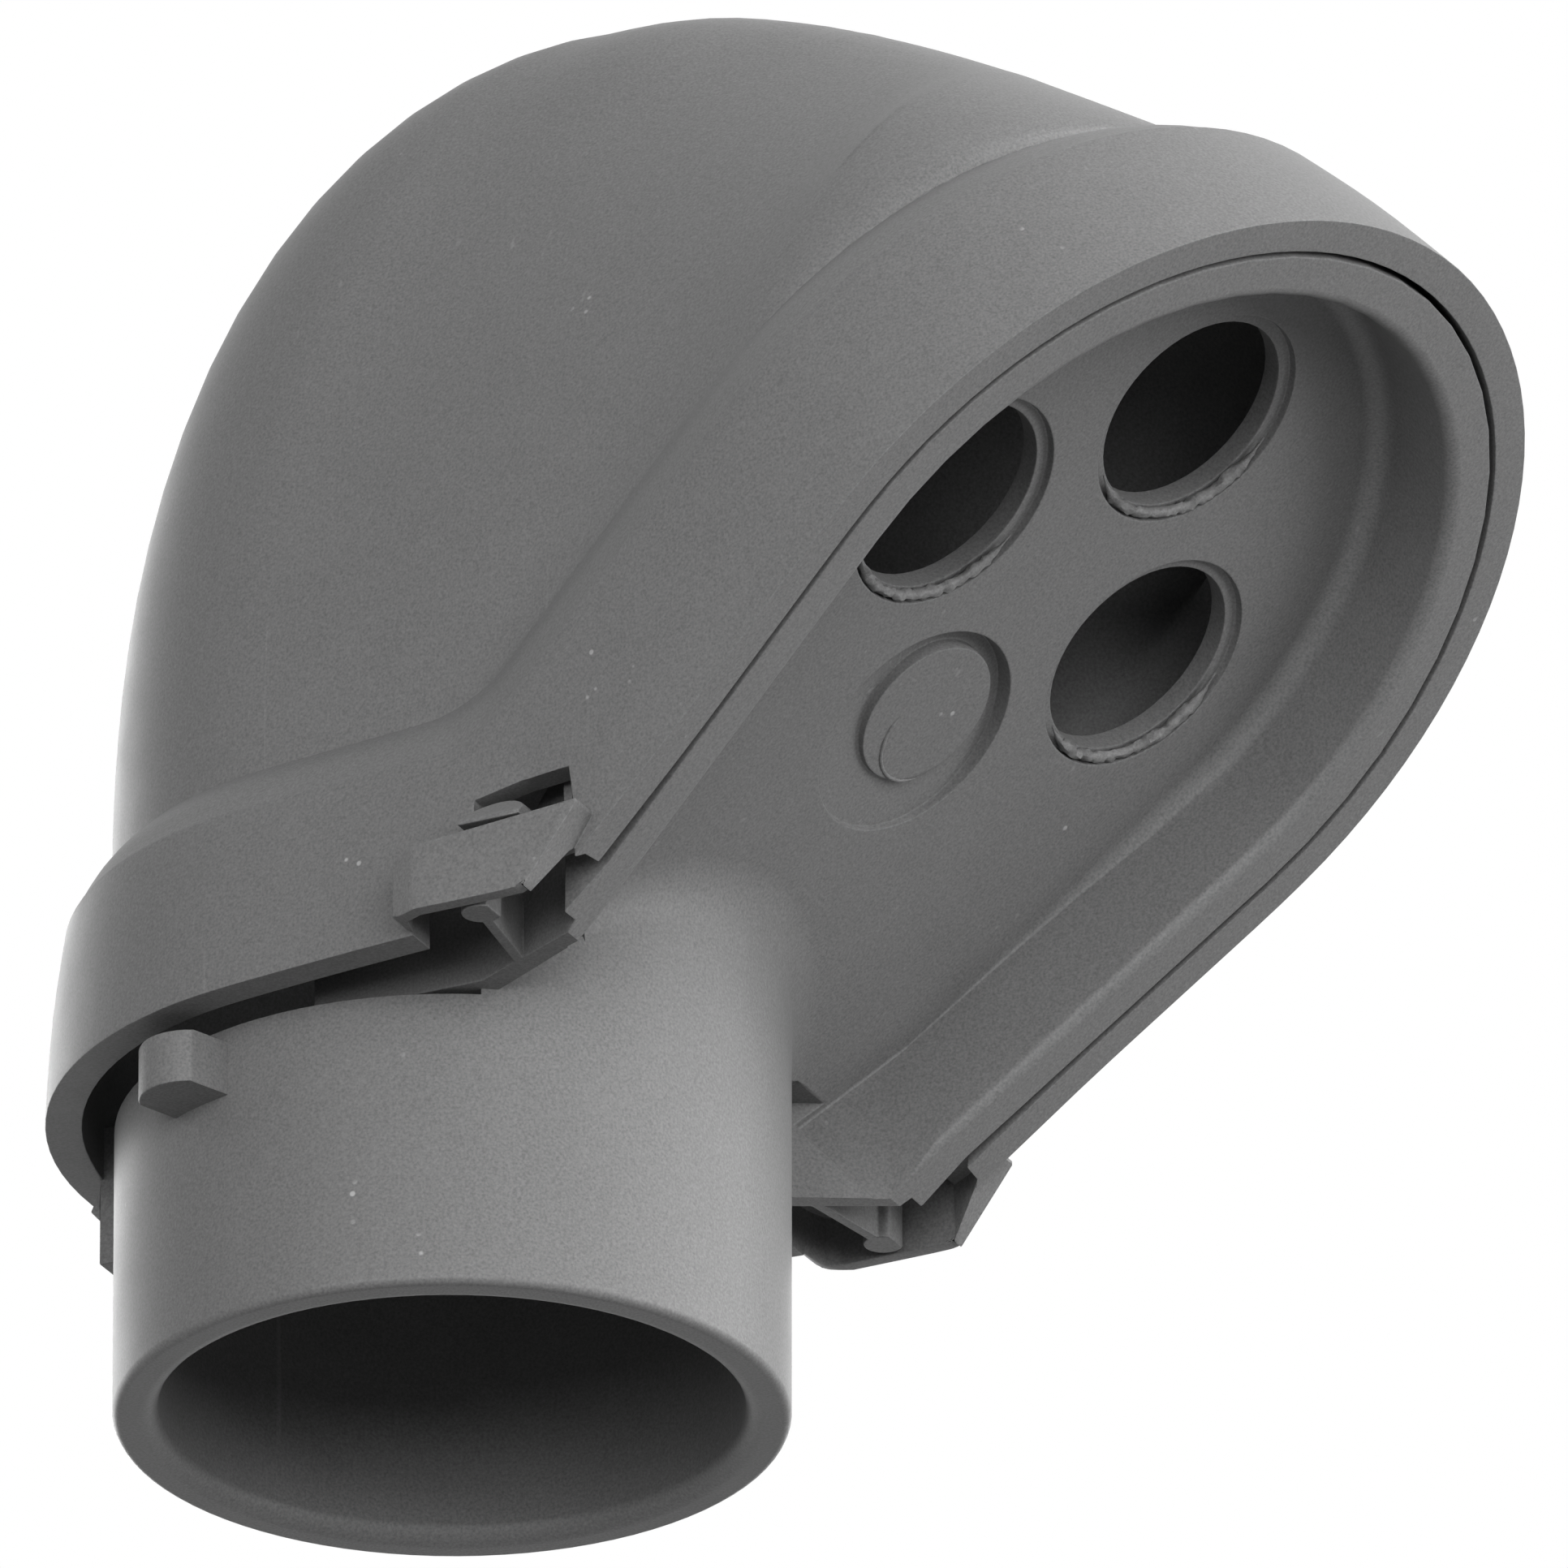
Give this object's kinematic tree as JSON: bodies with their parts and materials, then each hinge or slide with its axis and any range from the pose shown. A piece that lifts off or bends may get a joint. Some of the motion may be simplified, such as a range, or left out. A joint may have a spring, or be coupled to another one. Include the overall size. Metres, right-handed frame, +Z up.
{
  "type": "service entrance weatherhead",
  "caption": "Slip-fit plastic weatherhead for an electrical conduit mast: a socket with a sloping recessed cable plate under a clip-on domed rain hood",
  "frame": {"origin": "centre of the socket mouth, where the conduit enters", "axes": "+Z up along the conduit axis, +X towards the nose of the cable plate, +Y to the left seen from behind"},
  "size_m": [0.127, 0.0852, 0.1217],
  "materials": {
    "pvc_body": "matte moulded grey PVC, fine grain",
    "pvc_hood": "matte moulded grey PVC, fine grain"
  },
  "bodies": {
    "body": {"body": "pvc_body"},
    "hood": {"hood": "pvc_hood"}
  },
  "joints": [
    {"name": "hood_lift", "type": "slide", "parent": "body", "child": "hood", "axis": [-0.6613, 0, 0.7501], "range_m": [0, 0.08]}
  ]
}
